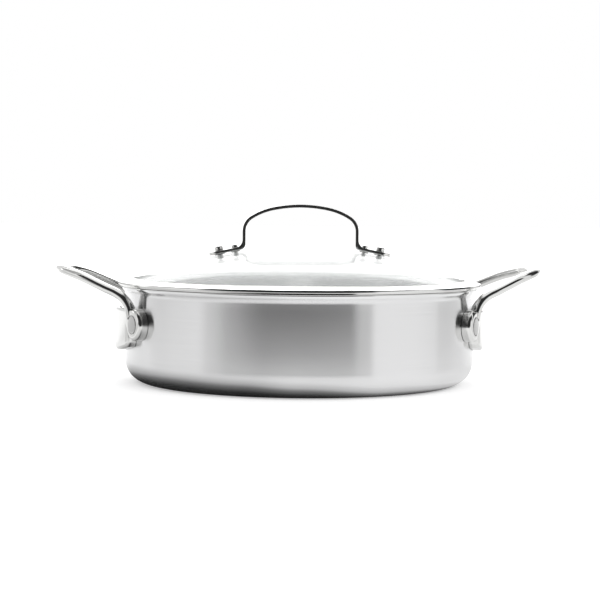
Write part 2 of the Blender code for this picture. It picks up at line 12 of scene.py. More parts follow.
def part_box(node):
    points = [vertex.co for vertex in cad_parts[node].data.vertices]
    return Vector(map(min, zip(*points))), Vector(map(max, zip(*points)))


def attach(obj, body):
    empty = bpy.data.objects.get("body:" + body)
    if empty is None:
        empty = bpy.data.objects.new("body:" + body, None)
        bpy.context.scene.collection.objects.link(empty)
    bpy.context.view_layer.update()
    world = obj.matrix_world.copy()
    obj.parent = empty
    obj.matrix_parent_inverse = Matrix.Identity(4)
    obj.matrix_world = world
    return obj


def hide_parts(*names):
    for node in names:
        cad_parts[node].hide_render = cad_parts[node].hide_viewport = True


bl_info = {
    "name": "Saute Pan Looks",
    "version": (1, 0, 0),
    "blender": (4, 5, 0),
    "location": "3D View > Sidebar > Saute Pan",
    "description": "Builds the finished surfaces, materials and stage of a saute pan with its lid",
    "category": "Add Mesh",
}

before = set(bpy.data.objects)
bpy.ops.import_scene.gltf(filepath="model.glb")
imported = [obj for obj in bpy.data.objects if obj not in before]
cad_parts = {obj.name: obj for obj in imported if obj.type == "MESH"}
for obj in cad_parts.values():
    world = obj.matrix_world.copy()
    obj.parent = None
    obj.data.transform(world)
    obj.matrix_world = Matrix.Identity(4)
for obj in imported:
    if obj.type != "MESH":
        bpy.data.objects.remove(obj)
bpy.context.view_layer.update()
PAN_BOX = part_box("pan_body")
BAND_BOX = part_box("lid_rim_band")
STRAP_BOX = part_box("lid_handle")
HANDLE_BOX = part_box("side_handle_right")

SEAT_GAP = 0.0003
SMALL_GAP = 0.0002
BORE_GAP = 0.00025
GLASS_HOLE_GAP = 0.0007
MERGE = 1e-7
SHARP = math.radians(32)
PAN_STEPS = 240
IMAGE_SIDE = 600
SENSOR = 36.0
SIDES = (("left", -1), ("right", 1))

# A fastener has its frame on the strap's foot, the radius of its screw, the radius and height of
# its nut, and the finish of its upper washer.
Fastener = namedtuple("Fastener", "name spot screw nut height washer")
FASTENERS = (
    # The outer washers' near-black silicone is partly a real washer and partly painted shade for
    # the gap under the strap's feet.
    ("outer", 0.0019, 0.0036, 0.0044, "dark_silicone"),
    ("inner", 0.0014, 0.0026, 0.0028, "silicone"),
)


def length(name, description, default):
    return bpy.props.FloatProperty(
        name=name, description=description, default=default, unit="LENGTH", precision=5
    )


def angle(name, description, degrees):
    return bpy.props.FloatProperty(
        name=name, description=description, default=math.radians(degrees), subtype="ANGLE"
    )


def colour(name, description, default):
    return bpy.props.FloatVectorProperty(
        name=name, description=description, default=default, subtype="COLOR", min=0, max=1
    )


def number(name, description, default):
    return bpy.props.FloatProperty(name=name, description=description, default=default)


def share(name, description, default):
    return bpy.props.FloatProperty(
        name=name, description=description, default=default, subtype="FACTOR", min=0, max=1
    )


class PanShape(bpy.types.PropertyGroup):
    """Sizes of the pan body."""

    wall_radius: length("Wall radius", "Outside of the straight wall", 0.150)
    height: length("Height", "Top of the lip", PAN_BOX[1].z)
    lip_radius: length("Lip radius", "Outside of the flared lip", PAN_BOX[1].x)
    wall: length("Wall", "Thickness of the wall", 0.0026)
    floor: length("Floor", "Thickness of the floor", 0.0030)
    corner: length("Corner", "Outer radius between wall and base", 0.020)
    flare: length("Flare", "Height over which the lip flares", 0.0080)
    lip_round: length("Lip round", "Radius of the lip's edge", 0.0012)


class HandleShape(bpy.types.PropertyGroup):
    """Sizes of the side handles and their rivets."""

    mount_depth: length("Mount depth", "Thickness of the mount plate", 0.0084)
    rivet_angle: angle("Rivet angle", "From the handle's middle to each rivet", 26.0)
    rivet_below_rim: length("Rivet below rim", "Height of the rivets under the rim", 0.0298)
    lobe: length("Lobe", "Radius of the round end about each rivet", 0.0133)
    side_drop: length("Side drop", "From the rivet to the apron's lower corner", 0.0197)
    middle_drop: length("Middle drop", "From the rivet to the apron's lowest point", 0.0252)
    apron_corner: length("Apron corner", "Radius of the apron's corners", 0.0052)
    apron_inset: length("Apron inset", "From the rivet in to the side of the apron", 0.0111)
    edge: length("Edge", "Rounding of the mount's front edge", 0.0034)
    bar_width: length("Bar width", "Half the bar's width", 0.0047)
    bar_height: length("Bar height", "Half the bar's height", 0.0038)
    bar_swell: number("Root swell", "How much thicker the bar is at its roots", 1.22)
    counterbore: length("Counterbore", "Radius of the seat of the rivet's head", 0.0081)
    counterbore_depth: length("Counterbore depth", "Depth of that seat", 0.0010)
    rivet_head: length("Rivet head", "Radius of the rivet's flat head", 0.0075)
    rivet_head_height: length("Head height", "Height of the rivet's low head", 0.0013)
    rivet_crown: length("Head crown", "Doming of the rivet's low head", 0.0003)
    rivet_shank: length("Rivet shank", "Radius of the rivet's shank", 0.0040)
    rivet_tail: length("Rivet tail", "Radius of the domed head inside the pan", 0.0080)
    rivet_tail_height: length("Tail height", "Height of the domed head", 0.0026)


class LidShape(bpy.types.PropertyGroup):
    """Sizes of the glass, its band, the strap and the fasteners."""

    curve: length("Curve", "Radius of the glass's outer face", 0.390)
    thickness: length("Glass", "Thickness of the glass", 0.0040)
    inset: length("Inset", "From the pan's outside to the glass's edge", 0.0045)
    edge_lift: length("Edge lift", "From the seat to the top of the glass's edge", 0.0040)
    flange: length("Flange", "Width of the band over the glass", 0.0026)
    sheet: length("Sheet", "Thickness of the band's sheet", 0.0007)
    curl: length("Curl", "Half the height of the band's rolled edge", 0.00125)
    curl_round: length("Curl round", "Rounding under the rolled edge", 0.0006)
    curl_face: length("Curl face", "Rounding of the rolled edge's outer face", 0.0032)
    curl_shoulder: length("Curl shoulder", "Rounding on top of the rolled edge", 0.0005)
    seat_width: length("Seat width", "How far the seat reaches past the wall", 0.0048)
    recess: length("Recess", "Height of the recess under the curl", 0.0009)
    skirt_clearance: length("Skirt clearance", "Between the skirt and the wall", 0.0009)
    skirt: length("Skirt", "Thickness of the skirt", 0.0011)
    skirt_drop: length("Skirt drop", "Depth of the skirt in the pan", 0.0070)
    strap: length("Strap", "Thickness of the strap", 0.0027)
    strap_span: length("Strap span", "Half the distance between the legs", 0.0487)
    arch: length("Arch", "Radius of the strap's top", 0.115)
    arch_spread: angle("Arch spread", "Half the angle of the strap's top", 12.2)
    flank: length("Flank", "Radius between top and shoulder", 0.055)
    shoulder: length("Shoulder", "Radius of the strap's shoulders", 0.0138)
    bend_inside: length("Bend inside", "Radius above each foot's bend", 0.0070)
    bend_outside: length("Bend outside", "Radius under each foot's bend", 0.0053)
    foot_slope: angle("Foot slope", "Fall of the feet", 11.6)
    foot_tip: length("Foot tip", "Distance of the foot's tip from the axis", 0.0785)
    tip_round: length("Tip round", "Radius of the foot's corners", 0.0080)
    standoff: length("Standoff", "From the glass to the foot", 0.0013)
    outer_place: length("Outer fastener", "Distance from the axis", 0.0695)
    inner_place: length("Inner fastener", "Distance from the axis", 0.0560)
    nut_seat: length("Nut seat", "Depth of the flat seat under each nut", 0.0002)
    washer_extra: length("Washer", "How far the washers reach past the nuts", 0.0012)


class FinishColours(bpy.types.PropertyGroup):
    """Colours and gloss of the finishes."""

    brushed: colour("Brushed steel", "Satin steel of the pan", (0.83, 0.83, 0.835))
    polished: colour("Polished steel", "Bright steel of handles and band", (0.86, 0.86, 0.85))
    glass: colour("Glass", "Tint of the lid", (0.985, 0.995, 0.99))
    silicone: colour("Silicone", "Inner washers between strap and glass", (0.88, 0.88, 0.87))
    # Near-black outer washers: a real washer, darkened further to paint the shade and its
    # reflection in the gap under the strap's feet.
    dark_silicone: colour("Dark silicone", "Outer washers", (0.02, 0.02, 0.02))
    brushed_roughness: share("Brushed roughness", "Blur across the brushing", 0.215)
    polished_roughness: share("Polished roughness", "Blur of the bright steel", 0.09)


class StageLook(bpy.types.PropertyGroup):
    """Camera, light and surroundings."""

    distance: length("Distance", "From the pan's axis to the camera", 1.430)
    eye_height: length("Eye height", "Height of the camera", 0.150)
    yaw: angle("Yaw", "Turn of the camera about the pan", -4.0)
    heading: angle("Heading", "Sideways aim of the camera", 0.02)
    tilt: angle("Tilt", "Downward aim of the camera", 3.18)
    roll: angle("Roll", "Roll of the camera", 0.55)
    focal: number("Focal", "Focal length in image pixels", 1652.0)
    dark: share("Dark end", "Brightness of the room behind the camera", 0.03)
    left_light: share("Left light", "Brightness of the left side", 0.98)
    right_light: share("Right light", "Brightness of the right side", 1.0)
    backdrop: number("Backdrop", "Brightness of the lit backdrop in reflections", 1.7)
    backlight: number("Backlight", "Brightness of the light behind the pan", 4.5)
    ceiling: share("Ceiling", "Brightness of the ceiling behind the pan in reflections", 0.84)
    left_screen: share("Left screen", "Brightness of the screen on the left", 0.45)
    dark_height: share("Dark height", "How high the dark end of the room reaches", 0.94)
    table_light: number("Table light", "Brightness of the table in reflections", 1.0)
    near_sides: number("Near sides", "Brightness of the table beside the handles", 1.0)
    table_front: length("Table front", "Where the pale table ends before the pan", 0.35)


GROUPS = {
    "pan_shape": PanShape,
    "handle_shape": HandleShape,
    "lid_shape": LidShape,
    "finish": FinishColours,
    "stage_look": StageLook,
}


# Shapes

def arc(centre, radius, start, end, steps):
    """Points on an arc in a plane, with both ends. Angles are in degrees."""
    angles = [math.radians(start + (end - start) * i / steps) for i in range(steps + 1)]
    return [(centre[0] + radius * math.cos(a), centre[1] + radius * math.sin(a)) for a in angles]


def mesh_from(bm):
    """A mesh with its doubles merged and its faces pointing outwards."""
    bmesh.ops.remove_doubles(bm, verts=bm.verts, dist=MERGE)
    bm.normal_update()
    bmesh.ops.recalc_face_normals(bm, faces=bm.faces)
    mesh = bpy.data.meshes.new("shape")
    bm.to_mesh(mesh)
    bm.free()
    return mesh


def linked(name, data):
    """A new object in the scene."""
    obj = bpy.data.objects.new(name, data)
    bpy.context.scene.collection.objects.link(obj)
    return obj


def dressed(name, mesh, body, finish, replaced):
    """Makes a piece with its finish, seats it on its body and hides the solids it stands for."""
    slot, _ = FINISHES[finish]
    piece = linked(name, mesh)
    mesh.name = name
    mesh.shade_smooth()
    mesh.set_sharp_from_angle(angle=SHARP)
    mesh.materials.clear()
    mesh.materials.append(material_named(finish))
    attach(piece, body)
    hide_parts(*replaced)


def spun(profile, steps, closed=False):
    """A profile of (radius, height) points, turned once round the Z axis."""
    bm = bmesh.new()
    verts = [bm.verts.new((r, 0.0, z)) for r, z in profile]
    pairs = list(zip(verts, verts[1:]))
    if closed:
        pairs.append((verts[-1], verts[0]))
    edges = [bm.edges.new(pair) for pair in pairs]
    bmesh.ops.spin(
        bm,
        geom=verts + edges,
        cent=(0, 0, 0),
        axis=(0, 0, 1),
        angle=2 * math.pi,
        steps=steps,
        use_merge=True,
    )
    return bm


def turned(profile, steps, matrix, closed=False):
    """The mesh of a small turned part, moved to its place."""
    bm = spun(profile, steps, closed)
    bmesh.ops.transform(bm, matrix=matrix, verts=bm.verts)
    return mesh_from(bm)


def domed(radius, level, height, steps):
    """The profile of a head that hangs domed under a level, from its side to its middle."""
    turns = [math.radians(90) * i / steps for i in range(1, steps)]
    side = [(radius * math.cos(a), level - height * math.sin(a)) for a in turns]
    return side + [(0.0, level - height)]


def extruded(outline, start, depth):
    """An outline of (x, z) points, drawn out along Y from its start."""
    bm = bmesh.new()
    face = bm.faces.new([bm.verts.new((x, start, z)) for x, z in outline])
    grown = bmesh.ops.extrude_face_region(bm, geom=[face])["geom"]
    moved = [item for item in grown if isinstance(item, bmesh.types.BMVert)]
    bmesh.ops.translate(bm, verts=moved, vec=(0, depth, 0))
    bmesh.ops.recalc_face_normals(bm, faces=bm.faces)
    return bm


def rounded(bm, edges, radius, steps):
    """Rounds some edges."""
    bmesh.ops.bevel(
        bm,
        geom=edges,
        offset=radius,
        offset_type="OFFSET",
        affect="EDGES",
        segments=steps,
        profile=0.5,
        material=-1,
    )


def helper(bm, name):
    """A closed shape that a piece is joined to or cut by, removed again afterwards."""
    return linked(name, mesh_from(bm))


def rod(radius, low, high, sides, matrix):
    """A closed cylinder along local Z."""
    bm = bmesh.new()
    middle = Matrix.Translation((0, 0, (low + high) / 2))
    bmesh.ops.create_cone(
        bm,
        cap_ends=True,
        segments=sides,
        radius1=radius,
        radius2=radius,
        depth=high - low,
        matrix=matrix @ middle,
    )
    return helper(bm, "rod")


def combine(base, joined, cuts):
    """Joins helpers to a base, then cuts it by others, and returns the resulting mesh."""
    steps = [("UNION", other) for other in joined] + [("DIFFERENCE", other) for other in cuts]
    for operation, other in steps:
        step = base.modifiers.new(other.name, "BOOLEAN")
        step.operation = operation
        step.solver = "EXACT"
        step.object = other
    bpy.context.view_layer.update()
    graph = bpy.context.evaluated_depsgraph_get()
    mesh = bpy.data.meshes.new_from_object(base.evaluated_get(graph))
    for obj in (base, *joined, *cuts):
        bpy.data.objects.remove(obj, do_unlink=True)
    return mesh


# Nodes of materials and of the world

def feed(tree, target, inputs):
    """Sets each input of a node to a value, or links it to another node's output."""
    for name, value in inputs.items():
        if isinstance(value, bpy.types.NodeSocket):
            tree.links.new(value, target.inputs[name])
        else:
            target.inputs[name].default_value = value


def node(tree, kind, inputs=None, **settings):
    """A new node with its settings and its inputs."""
    made = tree.nodes.new(kind)
    for name, value in settings.items():
        setattr(made, name, value)
    feed(tree, made, inputs or {})
    return made


def calc(tree, operation, *values):
    """What a Math node makes of numbers and outputs."""
    made = node(tree, "ShaderNodeMath", dict(enumerate(values)), operation=operation)
    return made.outputs["Value"]


def both(tree, first, second):
    """The product of two shares, which is 1 only where both are."""
    return calc(tree, "MULTIPLY", first, second)


def mix(tree, factor, first, second, kind="RGBA"):
    """Goes from a first colour or number to a second."""
    inputs = {"Factor": factor, "A": first, "B": second}
    return node(tree, "ShaderNodeMix", inputs, data_type=kind).outputs["Result"]


def between(tree, value, low, high, start=0.0, end=1.0):
    """Goes softly from start to end while a value goes from low to high."""
    inputs = {"Value": value, "From Min": low, "From Max": high, "To Min": start, "To Max": end}
    made = node(tree, "ShaderNodeMapRange", inputs, interpolation_type="SMOOTHSTEP")
    return made.outputs["Result"]


def grey(level):
    """A brightness as a colour."""
    return (level, level, level, 1)


def ramp(tree, value, stops):
    """A grey level that goes softly from stop to stop."""
    made = node(tree, "ShaderNodeValToRGB", {"Fac": value})
    made.color_ramp.interpolation = "EASE"
    points = made.color_ramp.elements
    while len(points) < len(stops):
        points.new(0.5)
    for point, (position, level) in zip(points, stops):
        point.position = position
        point.color = grey(level)
    return made.outputs["Color"]


def at(degrees):
    """A direction round the pan as a share of a turn. It is 0.5 towards the camera."""
    return 0.5 + degrees / 360


def around(tree, coordinate, yaw):
    """Such a share for each direction, then its parts rightwards, to the camera and upwards."""
    inputs = {"Vector": coordinate, "Angle": -yaw}
    turn = node(tree, "ShaderNodeVectorRotate", inputs, rotation_type="Z_AXIS")
    axes = node(tree, "ShaderNodeSeparateXYZ", {"Vector": turn.outputs["Vector"]}).outputs
    toward = calc(tree, "MULTIPLY", axes["Y"], -1.0)
    turned_by = calc(tree, "ARCTAN2", axes["X"], toward)
    fraction = calc(tree, "MULTIPLY_ADD", turned_by, 0.5 / math.pi, 0.5)
    return fraction, axes["X"], toward, axes["Z"]


def ramp_round(tree, fraction, stops):
    """A grey level by direction. A stop is degrees to the right of the camera, and a level."""
    return ramp(tree, fraction, [(at(degrees), level) for degrees, level in stops])


def noise(tree, scale, detail, roughness=0.55):
    """A noise on the piece's own coordinates, with a scale for each axis."""
    coords = node(tree, "ShaderNodeTexCoord").outputs["Object"]
    mapping = node(tree, "ShaderNodeMapping", {"Vector": coords, "Scale": scale})
    inputs = {"Scale": 1.0, "Detail": detail, "Roughness": roughness}
    inputs["Vector"] = mapping.outputs["Vector"]
    return node(tree, "ShaderNodeTexNoise", inputs).outputs["Fac"]


def spread(tree, value, low, high):
    """Maps a noise's middle range softly onto the range from low to high."""
    return between(tree, value, 0.2, 0.8, low, high)


def toned(tree, value, base, kept):
    """A colour that a noise varies from a darker share of it to its full tone."""
    dark = [channel * kept for channel in base]
    return mix(tree, spread(tree, value, 0.0, 1.0), (*dark, 1), (*base, 1))


def bump(tree, height, distance, strength):
    """A relief as high as its distance, at a strength."""
    inputs = {"Height": height, "Distance": distance, "Strength": strength}
    return node(tree, "ShaderNodeBump", inputs).outputs["Normal"]


# Finishes: each gives what goes into the inputs of its shader

def brushed_steel(tree, finish):
    """Satin steel, brushed round the pan: fine rings, sharper along the wall than up it."""
    lip_low, lip_high, lip_roughness = 0.0034, 0.0024, 0.06
    rings = noise(tree, (14, 14, 2600), 3.0, 0.7)
    level = finish.brushed_roughness
    rough = spread(tree, noise(tree, (9, 9, 9), 4.0), level - 0.015, level + 0.015)
    coords = node(tree, "ShaderNodeTexCoord").outputs["Object"]
    height = node(tree, "ShaderNodeSeparateXYZ", {"Vector": coords}).outputs["Z"]
    lip = between(tree, height, PAN_BOX[1].z - lip_low, PAN_BOX[1].z - lip_high)
    tangent = node(tree, "ShaderNodeTangent", direction_type="RADIAL", axis="Z")
    return {
        "Base Color": toned(tree, rings, finish.brushed, 0.955),
        "Roughness": mix(tree, lip, rough, lip_roughness, "FLOAT"),
        "Metallic": 1.0,
        "Anisotropic": 1.0,
        "Anisotropic Rotation": 0.25,
        "Tangent": tangent.outputs["Tangent"],
        "Normal": bump(tree, rings, 0.00002, 0.25),
    }


def polished_steel(tree, finish):
    """Bright steel with faint polishing haze and the slight waviness of a hand-finished form."""
    haze = noise(tree, (120, 120, 160), 5.0)
    level = finish.polished_roughness
    return {
        "Base Color": toned(tree, haze, finish.polished, 0.96),
        "Roughness": spread(tree, haze, level * 0.75, level * 1.35),
        "Metallic": 1.0,
        "Normal": bump(tree, noise(tree, (70, 70, 70), 1.0), 0.0004, 0.35),
    }


def turned_steel(tree, finish, kept=1.0):
    """Steel with the fine haze of a lathe, as bright as the polished steel or duller."""
    haze = noise(tree, (900, 900, 900), 3.0)
    return {
        "Base Color": toned(tree, haze, [channel * kept for channel in finish.polished], 0.93),
        "Roughness": spread(tree, haze, 0.13, 0.2),
        "Metallic": 1.0,
        "Normal": bump(tree, haze, 0.00002, 0.3),
    }


def clear_glass(tree, finish):
    """Clear tempered glass with a barely uneven surface."""
    streaks = noise(tree, (12, 12, 12), 2.0)
    return {
        "Base Color": toned(tree, streaks, finish.glass, 0.995),
        "Roughness": 0.0,
        "IOR": 1.5,
        "Transmission Weight": 1.0,
        "Normal": bump(tree, streaks, 0.0001, 0.04),
    }


def soft_silicone(tree, finish, shade="silicone"):
    """Matte silicone of the washers: pale, and near-black where it also paints the shade under the
    strap's feet.
    """
    grain = noise(tree, (1500, 1500, 1500), 2.0)
    return {
        "Base Color": toned(tree, grain, getattr(finish, shade), 0.9),
        "Roughness": spread(tree, grain, 0.5, 0.62),
        "Specular IOR Level": 0.2,
        "Normal": bump(tree, grain, 0.00003, 0.3),
    }


# For each finish its material slot and its maker
FINISHES = {
    "brushed_steel_wall": ("brushed_steel", brushed_steel),
    "polished_steel": ("polished_steel", polished_steel),
    "turned_steel": ("polished_steel", turned_steel),
    "rivet_steel": ("polished_steel", partial(turned_steel, kept=0.62)),
    "clear_glass": ("clear_glass", clear_glass),
    "silicone": ("silicone", soft_silicone),
    # The outer washers' near-black tone also paints the shade in the gap under the strap's feet.
    "dark_silicone": ("dark_silicone", partial(soft_silicone, shade="dark_silicone")),
}


def new_material(name):
    material = bpy.data.materials.new(name)
    material.use_nodes = True
    tree = material.node_tree
    return material, tree, tree.nodes["Principled BSDF"]


def material_named(name):
    """The material of a finish, made on its first use."""
    material = bpy.data.materials.get(name)
    if material is None:
        _, maker = FINISHES[name]
        material, tree, shader = new_material(name)
        feed(tree, shader, maker(tree, bpy.context.scene.finish))
    return material


# Places shared by pieces

def glass_edge_radius(scene):
    return scene.pan_shape.wall_radius - scene.lid_shape.inset


def glass_height(scene, radius, drop=0.0):
    """Height of the glass's top at a distance from the axis, or of a face below it."""
    lid = scene.lid_shape
    seat = scene.pan_shape.height + SEAT_GAP
    centre = seat + lid.edge_lift - math.sqrt(lid.curve**2 - glass_edge_radius(scene) ** 2)
    return centre + math.sqrt((lid.curve - drop) ** 2 - radius**2)


def foot_line(scene, radius):
    """Height of the strap's middle along its foot."""
    lid = scene.lid_shape
    middle = (lid.outer_place + lid.inner_place) / 2
    start = glass_height(scene, middle) + lid.standoff + lid.strap / 2
    return start - math.tan(lid.foot_slope) * (radius - middle)


def fasteners(scene):
    """Every fastener. Its local Z is square to the foot, with its zero at the underside."""
    lid = scene.lid_shape
    slope = lid.foot_slope
    for kind, *sizes in FASTENERS:
        radius = getattr(lid, f"{kind}_place")
        for side_name, side in SIDES:
            normal = Vector((side * math.sin(slope), 0, math.cos(slope)))
            spot = Vector((side * radius, 0, foot_line(scene, radius))) - normal * lid.strap / 2
            seated = Matrix.Translation(spot) @ Matrix.Rotation(side * slope, 4, "Y")
            yield Fastener(f"{kind}_{side_name}", seated, *sizes)


def face_radius(scene):
    """Distance of a mount's front face from the pan's axis."""
    return scene.pan_shape.wall_radius + SEAT_GAP + scene.handle_shape.mount_depth


def rivet_height(scene):
    return scene.pan_shape.height - scene.handle_shape.rivet_below_rim


def rivet_frame(scene, turn):
    """Local Z points out of the wall along the rivet, with its zero on the pan's axis."""
    out = Matrix.Rotation(turn, 4, "Z") @ Matrix.Rotation(math.radians(90), 4, "Y")
    return Matrix.Translation((0, 0, rivet_height(scene))) @ out


class SAUTEPAN_OT_body(bpy.types.Operator):
    """Spin the pan's shell with its rounded corner and flared lip"""

    bl_idname = "sautepan.body"
    bl_label = "Pan Body"

    thirds = (0.3, 0.6, 0.9)
    flare_curve = 2.2

    def execute(self, context):
        pan = context.scene.pan_shape
        inner = pan.wall_radius - pan.wall
        inner_corner = pan.corner - pan.wall
        inner_end = inner_corner + pan.floor
        flare_low = pan.height - pan.flare
        reach = pan.lip_radius - pan.wall_radius
        rises = [i / 8 for i in range(8)]

        def flared(radius, rise, trim):
            height = flare_low + rise * (pan.flare - trim)
            return radius + reach * rise**self.flare_curve, height

        points = [(inner * part, pan.floor) for part in (0.0, *self.thirds[:2])]
        points += arc((inner - inner_corner, inner_end), inner_corner, -90, 0, 14)
        points += [(inner, inner_end + (flare_low - inner_end) * t) for t in self.thirds]
        points += [flared(inner, rise, pan.lip_round) for rise in rises]
        tip = (pan.lip_radius - pan.lip_round, pan.height - pan.lip_round)
        points += arc(tip, pan.lip_round, 135, -30, 9)
        points += [flared(pan.wall_radius, rise, 2 * pan.lip_round) for rise in rises[::-1]]
        wall = flare_low - pan.corner
        points += [(pan.wall_radius, pan.corner + wall * t) for t in self.thirds[::-1]]
        centre = (pan.wall_radius - pan.corner, pan.corner)
        points += arc(centre, pan.corner, 0, -90, 18)
        points += [(centre[0] * part, 0.0) for part in (*self.thirds[1::-1], 0.0)]
        mesh = mesh_from(spun(points, PAN_STEPS))
        dressed("pan_shell", mesh, "pan", "brushed_steel_wall", ["pan_body"])
        return {"FINISHED"}


class SAUTEPAN_OT_side_handles(bpy.types.Operator):
    """Build the wrapped mount with its looped bar, once for each side"""

    bl_idname = "sautepan.side_handles"
    bl_label = "Side Handles"

    wrap_step = math.radians(1.5)
    belly_steps = 12
    cells = 4
    rib = 0.003
    cell_margin = 0.0034
    cell_inset = 0.0017
    cell_front = 0.0032
    root_across = 0.9
    root_rise = 0.0048
    swell_rise = 0.7
    bar_sides = 24
    bar_steps = 8
    bore_reach = 0.005
    # The bar from its root to its middle: shares of the way outwards, across and upwards
    bar_points = (
        (0.000, 1.000, 0.000), (0.040, 0.985, 0.230), (0.115, 0.955, 0.405),
        (0.220, 0.915, 0.520), (0.350, 0.870, 0.610), (0.490, 0.805, 0.710),
        (0.670, 0.695, 0.835), (0.820, 0.560, 0.915), (0.925, 0.405, 0.965),
        (0.982, 0.210, 0.992), (1.000, 0.000, 1.000),
    )

    def outline(self, scene):
        """Half of the mount's outline laid flat, from the top middle to the bottom middle."""
        shape = scene.handle_shape
        height = rivet_height(scene)
        lobe = (shape.rivet_angle * face_radius(scene), height)
        points = [(0.0, height + shape.lobe)]
        meet = math.degrees(math.acos(-shape.apron_inset / shape.lobe))
        points += arc(lobe, shape.lobe, 90, -meet, 36)
        side = lobe[0] - shape.apron_inset
        corner = (side - shape.apron_corner, height - shape.side_drop + shape.apron_corner)
        points += arc(corner, shape.apron_corner, 0, -84, 8)
        end, low = points[-1]
        belly = low - (height - shape.middle_drop)
        for i in reversed(range(self.belly_steps)):
            part = i / self.belly_steps
            points.append((end * part, low - belly * (1 - part**2)))
        return points

    def wrap(self, bm, radius):
        """Bends a flat shape (X round the wall, Y out from it) round the pan's axis."""
        reach = max(abs(vert.co.x) for vert in bm.verts)
        step = self.wrap_step * radius
        for i in range(-int(reach / step), int(reach / step) + 1):
            parts = bm.verts[:] + bm.edges[:] + bm.faces[:]
            bmesh.ops.bisect_plane(bm, geom=parts, plane_co=(i * step, 0, 0), plane_no=(1, 0, 0))
        for vert in bm.verts:
            turn = vert.co.x / radius
            out = vert.co.y
            vert.co = Vector((out * math.cos(turn), out * math.sin(turn), vert.co.z))

    def mount(self, scene):
        low = scene.pan_shape.wall_radius - scene.pan_shape.wall / 2
        high = face_radius(scene)
        half = self.outline(scene)
        ring = half + [(-x, z) for x, z in reversed(half) if abs(x) > 1e-6]
        bm = extruded(ring, low, high - low)
        front = [e for e in bm.edges if all(v.co.y > high - 1e-6 for v in e.verts)]
        rounded(bm, front, scene.handle_shape.edge, 5)
        self.wrap(bm, high)
        return helper(bm, "mount")

    def pockets(self, scene):
        """Cells in the back of the casting, with ribs between."""
        shape = scene.handle_shape
        height = rivet_height(scene)
        radius = face_radius(scene)
        reach = shape.rivet_angle * radius - shape.apron_inset - self.cell_inset
        pitch = 2 * reach / self.cells
        low = scene.pan_shape.wall_radius - scene.pan_shape.wall
        high = radius - self.cell_front
        bottom = height - shape.side_drop + self.cell_margin
        top = height + shape.lobe - self.cell_margin - shape.bar_height
        size = Matrix.Diagonal((pitch - self.rib, high - low, top - bottom, 1.0))
        bm = bmesh.new()
        for i in range(self.cells):
            x = -reach + (i + 0.5) * pitch
            spot = Matrix.Translation((x, (low + high) / 2, (bottom + top) / 2))
            bmesh.ops.create_cube(bm, size=1.0, matrix=spot @ size)
        self.wrap(bm, radius)
        return helper(bm, "pockets")

    def bar_line(self, scene):
        """Middle line of the bar, from root to root: a smooth curve through its own points."""
        shape = scene.handle_shape
        across = shape.rivet_angle * face_radius(scene) - shape.lobe * self.root_across
        root = math.sqrt((face_radius(scene) - shape.mount_depth / 2) ** 2 - across**2)
        span = HANDLE_BOX[1].x - shape.bar_width - root
        base = rivet_height(scene) + self.root_rise
        rise = HANDLE_BOX[1].z - shape.bar_height - base
        near = [
            Vector((root + span * o, across * w, base + rise * u)) for o, w, u in self.bar_points
        ]
        far = [Vector((p.x, -p.y, p.z)) for p in reversed(near[:-1])]
        points = near + far
        padded = [points[0] * 2 - points[1]] + points + [points[-1] * 2 - points[-2]]
        line = []
        for i in range(1, len(padded) - 2):
            p0, p1, p2, p3 = padded[i - 1 : i + 3]
            cubic = -p0 + 3 * p1 - 3 * p2 + p3
            square = 2 * p0 - 5 * p1 + 4 * p2 - p3
            for k in range(self.bar_steps):
                t = k / self.bar_steps
                line.append(0.5 * (2 * p1 + (p2 - p0) * t + square * t**2 + cubic * t**3))
        return line + [points[-1]], base, base + rise

    def bar(self, scene):
        """An oval ring, extruded from place to place along the line."""
        shape = scene.handle_shape
        line, low, high = self.bar_line(scene)
        bm = bmesh.new()
        ring = bmesh.ops.create_circle(bm, segments=self.bar_sides, radius=1.0)["verts"]
        edges = bm.edges[:]
        bmesh.ops.contextual_create(bm, geom=edges)
        before = Matrix.Identity(4)
        for i, spot in enumerate(line):
            along = (line[min(i + 1, len(line) - 1)] - line[max(i - 1, 0)]).normalized()
            flat = Vector((0, 0, 1)).cross(along).normalized()
            up = along.cross(flat)
            climb = min(1.0, max(0.0, (spot.z - low) / (high - low) / self.swell_rise))
            swell = 1 + (shape.bar_swell - 1) * (1 - climb) ** 2
            turn = Matrix((flat, up, along)).transposed().to_4x4()
            size = Matrix.Diagonal((shape.bar_width * swell, shape.bar_height * swell, 1, 1))
            now = Matrix.Translation(spot) @ turn @ size
            if i:
                grown = bmesh.ops.extrude_edge_only(bm, edges=edges)["geom"]
                ring = [item for item in grown if isinstance(item, bmesh.types.BMVert)]
                edges = [item for item in grown if isinstance(item, bmesh.types.BMEdge)]
            bmesh.ops.transform(bm, matrix=now @ before.inverted(), verts=ring)
            before = now
        bmesh.ops.contextual_create(bm, geom=edges)
        return helper(bm, "bar")

    def execute(self, context):
        scene = context.scene
        shape = scene.handle_shape
        face = face_radius(scene)
        wall = scene.pan_shape.wall_radius
        bar = self.bar(scene)
        inside = (wall + SEAT_GAP, 0.0, scene.pan_shape.height, PAN_STEPS, Matrix.Identity(4))
        cuts = [self.pockets(scene), rod(*inside)]
        for side in (-1, 1):
            spot = rivet_frame(scene, side * shape.rivet_angle)
            low, high = wall - self.bore_reach, face + self.bore_reach
            cuts.append(rod(shape.rivet_shank + BORE_GAP, low, high, 32, spot))
            low = face - shape.counterbore_depth
            cuts.append(rod(shape.counterbore, low, high, 64, spot))
        mesh = combine(self.mount(scene), [bar], cuts)
        for name, side in SIDES:
            copy = mesh.copy()
            if side < 0:
                copy.transform(Matrix.Rotation(math.pi, 4, "Z"))
            piece, replaced = f"side_handle_cast_{name}", [f"side_handle_{name}"]
            dressed(piece, copy, "pan", "polished_steel", replaced)
        return {"FINISHED"}


